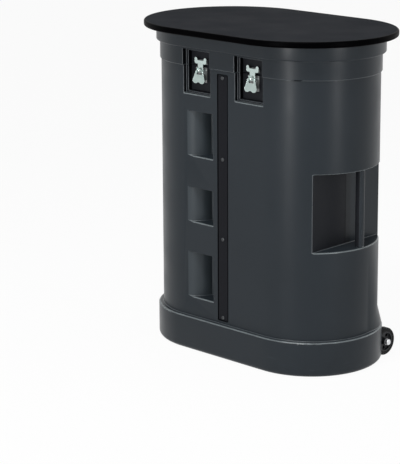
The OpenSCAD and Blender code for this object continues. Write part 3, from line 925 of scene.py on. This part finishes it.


# %% [markdown]
# Last come the rounds' own finishes, because the bevel makes those faces. The
# lips and the shoulder of the skirt get a painted highlight, rounds under a
# ceiling keep the body's colour, and rounds in the latch pockets' backs and the
# strip channel are painted dark as shade. Then the case and the lid are made:
# cut, finished, rounded, painted with highlights and shade, given even shading
# and seated.

# %% Make the case and the lid
SHELL, EDGE, RECESS, LIP, POCKET, CORNER = range(6)      # in the order of paint() below
TOP_EDGE_HEIGHTS = (0.309, 0.511, 0.607, 0.745, 0.931)
AROUND_LIP, AROUND_TOP_EDGE = 4 * MM, 3 * MM
SHOULDER_Z = (0.1005, 0.1065)
SHOULDER_SKIN = 0.2045     # the skirt's shoulder lies farther than this from the axes
SHOULDER_RISE = 0.35       # and its faces point up by more than this
MOULDING_ROUND, STRIP_ROUND = 3.4 * MM, 0.8 * MM


def paint_light_and_shade(obj):
    """Paint highlights on lips and shoulder and shade on rounds in shadow; top edges keep the
    body colour.
    """
    for face in obj.data.polygons:
        centre = face.center
        rounded = face.material_index == EDGE
        at_wall = from_axis(centre) > WALL_MIDDLE
        at_pocket_back = inside(one_quarter(centre), **LATCH_POCKET_BACK)
        in_shadow = at_pocket_back or inside(centre, **CHANNEL_EDGES)
        on_shoulder = inside(centre, z=SHOULDER_Z) and from_axis(centre) > SHOULDER_SKIN
        if rounded and at_wall and near_any(centre.z, LIP_HEIGHTS, AROUND_LIP):
            face.material_index = LIP
        elif rounded and near_any(centre.z, TOP_EDGE_HEIGHTS, AROUND_TOP_EDGE):
            face.material_index = SHELL
        elif rounded and in_shadow:
            face.material_index = CORNER
        elif on_shoulder and face.normal.z > SHOULDER_RISE:
            face.material_index = LIP


def moulding(node, name):
    """A softened copy of the case or the lid, in all its finishes."""
    obj = merged_copy(node, name)
    paint(obj, FINISH["moulded_shell"], EDGE_HIGHLIGHT_FINISH, RECESS_SHADE_FINISH, LIP_HIGHLIGHT_FINISH,
          POCKET_LIGHT_FINISH, CORNER_SHADE_FINISH)
    split_side_lips(obj)
    split_recess_back(obj)
    # Deep corners, recesses and the grip's inner sides are painted dark as shade, except the
    # recess's back behind the grip; the side pockets' walls are painted lighter as if lit.
    for face in obj.data.polygons:
        if is_shaded_corner(face):
            face.material_index = CORNER
        elif is_shaded_recess(face) and not inside(face.center, **BACK_BEHIND_GRIP):
            face.material_index = RECESS
        elif is_pocket_wall(face):
            face.material_index = POCKET
    soften(obj, MOULDING_ROUND, edge_finish=EDGE, share_of_width=round_share)
    paint_light_and_shade(obj)
    shading_of(obj, node)
    seat(obj, node)


moulding("case_shell", "case_moulding")
moulding("lid_shell", "lid_moulding")
softened("front_strip", "front_strip_moulding", STRIP_ROUND)

# %% [markdown]
# ## Draw latches
#
# Each latch is pressed from sheet steel: a pear-shaped lever, a hook with two
# horns and a round boss, a base plate and a keeper. Pressing gives the lever
# and the hook a raised border, which keeps thin sheet stiff, and it rounds
# every edge. The border is an inset of the front face, sunk by about half a
# millimetre, and inside it the lever is satin. On the boss, one inset sinks a
# ring that is painted dark as shade, and a second one raises a bright button.

# %% Press the borders of one latch
BRIGHT, PANEL, GROOVE = range(3)       # in the order of paint() below
BOSS_FRONT_Y = -0.1885                 # the boss's face lies in front of this
PLATE_FRONT_Y = -0.189                 # and the hook's plate behind this
LEVER_AREA, PLATE_AREA, BOSS_AREA = 150, 40, 60        # at least, in square millimetres
BORDER = 1.0 * MM
METAL_DEGREES = 40                     # pressed metal is shaded smooth up to this angle


def press(obj, wanted, border, depth, finish_index):
    """Inset the chosen faces, sink what lies inside the border and set its finish."""
    count = pick_faces(obj, wanted)
    bpy.ops.mesh.inset(thickness=border, depth=-depth, use_even_offset=True)
    bpy.ops.object.mode_set(mode="OBJECT")
    for face in obj.data.polygons:
        if face.select:
            face.material_index = finish_index
    print(obj.name, "pressed faces:", count)


def faces_front(face, least_area):
    """True on a front face of more than so many square millimetres."""
    return face.normal.y < -0.97 and face.area > least_area * MM * MM


def on_lever(face):
    """True on the lever's broad front."""
    return faces_front(face, LEVER_AREA)


def on_hook_plate(face):
    """True on the hook's front, but not on its boss."""
    return faces_front(face, PLATE_AREA) and face.center.y > PLATE_FRONT_Y


def on_boss(face):
    """True on the front of the hook's boss, and on the ring's floor once it is sunk."""
    return faces_front(face, BOSS_AREA) and face.center.y < BOSS_FRONT_Y


latch_parts = {}
for kind in ("latch_base", "latch_lever", "latch_hook", "keeper"):
    node = kind + "_front_right"
    latch_parts[kind] = merged_copy(node, kind + "_model")
    paint(latch_parts[kind], FINISH[SLOT_OF[node]], PANEL_FINISH, GROOVE_SHADE_FINISH)

hook = latch_parts["latch_hook"]
press(latch_parts["latch_lever"], on_lever, BORDER, 0.5 * MM, PANEL)
press(hook, on_hook_plate, BORDER, 0.4 * MM, BRIGHT)
press(hook, on_boss, 1.4 * MM, 0.7 * MM, GROOVE)       # the ring, sunk
press(hook, on_boss, 2.0 * MM, -0.6 * MM, BRIGHT)      # the button, raised again

LATCH_ROUNDS = {
    "latch_base": 0.5 * MM,
    "latch_lever": 0.25 * MM,
    "latch_hook": 0.25 * MM,
    "keeper": 0.5 * MM,
}
for kind, width in LATCH_ROUNDS.items():
    soften(latch_parts[kind], width, longer_than=0.15 * MM, sharper_than=38)
    even_shading(latch_parts[kind], METAL_DEGREES)

# %% [markdown]
# The other three latches are copies of this one. The left one at the front is
# only moved along, because a latch is the same on its left and right. The two
# at the back are turned half round, so no copy has to be mirrored, which would
# turn its faces inside out.

# %% Copy the latch to its four places
HALF_TURN = Matrix.Rotation(math.pi, 4, "Z")
TO_THE_LEFT = Matrix.Translation((-2 * LATCH_X, 0, 0))
LATCH_PLACES = {
    "front_right": Matrix.Identity(4),
    "front_left": TO_THE_LEFT,
    "rear_left": HALF_TURN,
    "rear_right": HALF_TURN @ TO_THE_LEFT,
}

for where, place in LATCH_PLACES.items():
    for kind, model in latch_parts.items():
        seat(placed_copy(model, f"{kind}_{where}_pressed", place), f"{kind}_{where}")
for model in latch_parts.values():
    bpy.data.objects.remove(model)
print("latches placed:", sorted(LATCH_PLACES))

# %% [markdown]
# ## Wheels and axle ends
#
# A wheel is a grey plastic hub with a solid rubber tyre, and a bright cap is
# pressed on each end of the axle. The solids have every form already, so
# small rounds are all they need: wide ones on rubber, narrow ones on metal.

# %% Soften the wheels and caps
HUB_ROUND, TYRE_ROUND, CAP_ROUND = 0.8 * MM, 1.0 * MM, 0.6 * MM

for side in ("left", "right"):
    softened(f"wheel_hub_{side}", f"wheel_hub_{side}_moulded", HUB_ROUND, longer_than=1 * MM)
    softened(f"tyre_{side}", f"tyre_{side}_moulded", TYRE_ROUND, longer_than=1 * MM)
softened("axle_caps", "axle_caps_pressed", CAP_ROUND, longer_than=0.4 * MM)

# %% [markdown]
# ## Screws of the strip
#
# Four pan-head screws hold the strip. A pan head is a short cylinder whose
# front edge is rounded far in, with a cross recess pressed into it. A bevel
# makes the dome, and a cross of two bars is taken away with a Boolean. The
# shank is an extrusion of the back face, hidden in the case. One screw is
# modelled, then copied to the four places and joined into one piece.

# %% One screw, then four
HEAD_RADIUS, HEAD_HEIGHT, HEAD_ROUND = 5.5 * MM, 2.4 * MM, 1.7 * MM
SHANK_RADIUS, SHANK_LENGTH = 1.8 * MM, 16 * MM
CROSS_LENGTH, CROSS_WIDTH, BAR_DEPTH = 6.0 * MM, 1.3 * MM, 2.6 * MM
STRIP_FACE = -0.2025       # Y of the strip's front
SCREW_HEIGHTS = [0.126, 0.370333, 0.614667, 0.859]


def screw_head():
    """A domed head with its shank, at the height of the floor."""
    only()
    bpy.ops.mesh.primitive_cylinder_add(
        vertices=32, radius=HEAD_RADIUS, depth=HEAD_HEIGHT,
        location=(0, STRIP_FACE - HEAD_HEIGHT / 2, 0), rotation=(math.pi / 2, 0, 0),
    )
    head = bpy.context.object
    apply_place(head)
    pick_faces(head, lambda face: face.normal.y > 0.9)
    bpy.ops.mesh.inset(thickness=HEAD_RADIUS - SHANK_RADIUS)
    bpy.ops.mesh.extrude_region_move(TRANSFORM_OT_translate={"value": (0, SHANK_LENGTH, 0)})
    pick_faces(head, lambda face: face.normal.y < -0.9)
    bpy.ops.mesh.bevel(offset=HEAD_ROUND, segments=5, affect="EDGES")
    bpy.ops.object.mode_set(mode="OBJECT")
    return head


def cross_cutter():
    """Two crossed bars, half sunk in the head's front."""
    bars = []
    for across, up in ((CROSS_LENGTH, CROSS_WIDTH), (CROSS_WIDTH, CROSS_LENGTH)):
        only()
        bpy.ops.mesh.primitive_cube_add(size=1, location=(0, STRIP_FACE - HEAD_HEIGHT, 0))
        bar = bpy.context.object
        bar.scale = (across, BAR_DEPTH, up)
        apply_place(bar)
        bars.append(bar)
    add_and_apply(bars[0], "BOOLEAN", operation="UNION", object=bars[1], solver="EXACT")
    bpy.data.objects.remove(bars[1])
    return bars[0]


model = screw_head()
cutter = cross_cutter()
add_and_apply(model, "BOOLEAN", operation="DIFFERENCE", object=cutter, solver="EXACT")
bpy.data.objects.remove(cutter)
screws = [
    placed_copy(model, f"strip_screw_{i}", Matrix.Translation((0, 0, height)))
    for i, height in enumerate(SCREW_HEIGHTS)
]
bpy.data.objects.remove(model)
only(*screws)
bpy.ops.object.join()
strip_screws = bpy.context.object
strip_screws.name = "strip_screws_pan_head"
paint(strip_screws, FINISH["dark_screw"])
even_shading(strip_screws, METAL_DEGREES)
seat(strip_screws, "strip_screws")
print("strip screws:", len(strip_screws.data.polygons), "faces")

# %% [markdown]
# ## The folding covering
#
# The table top folds in half, and its covering is the hinge: one sheet that
# runs over both boards. Two separate sheets would tear open at the fold, so
# here it is a single sheet. It starts as a circle, whose halves are pulled
# apart into the oval. Then it gets its thickness, a small round on its upper
# edge, and a few cuts across the fold, where it has to bend.

# %% The covering as one sheet
COVER_RADIUS = 0.264       # of its two round ends
COVER_END = 0.150          # how far each end is pulled out
COVER_TOP = 1.0
COVER_THICKNESS, COVER_ROUND = 1.0 * MM, 0.35 * MM
FOLD_GAP = 0.3 * MM        # the fold bends within this on both sides of the middle
FOLD_CUTS = (-1, -0.5, 0, 0.5, 1)

only()
bpy.ops.mesh.primitive_circle_add(
    vertices=130, radius=COVER_RADIUS, fill_type="NGON",
    location=(0, 0, COVER_TOP - COVER_THICKNESS),
)
covering = bpy.context.object
covering.name = "fold_covering"
apply_place(covering)
for side in (-1, 1):
    bpy.ops.object.mode_set(mode="EDIT")
    bpy.ops.mesh.select_mode(type="VERT")
    bpy.ops.mesh.select_all(action="DESELECT")
    bpy.ops.object.mode_set(mode="OBJECT")
    for point in covering.data.vertices:
        point.select = point.co.x * side > 0
    bpy.ops.object.mode_set(mode="EDIT")
    bpy.ops.transform.translate(value=(side * COVER_END, 0, 0))
bpy.ops.object.mode_set(mode="OBJECT")

pick_faces(covering, lambda face: True)
bpy.ops.mesh.extrude_region_move(TRANSFORM_OT_translate={"value": (0, 0, COVER_THICKNESS)})
bpy.ops.mesh.select_all(action="SELECT")
bpy.ops.mesh.normals_make_consistent(inside=False)
pick_faces(covering, lambda face: face.normal.z > 0.9)
bpy.ops.mesh.bevel(offset=COVER_ROUND, segments=2, affect="EDGES")
for share in FOLD_CUTS:
    bpy.ops.mesh.select_all(action="SELECT")
    bpy.ops.mesh.bisect(plane_co=(0, share * FOLD_GAP, 0), plane_no=(0, 1, 0))
bpy.ops.object.mode_set(mode="OBJECT")
paint(covering, FINISH["cover"])
even_shading(covering)
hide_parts("top_cover_front", "top_cover_rear")
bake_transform(covering)
print("covering spans:", [round(side, 4) for side in covering.dimensions])
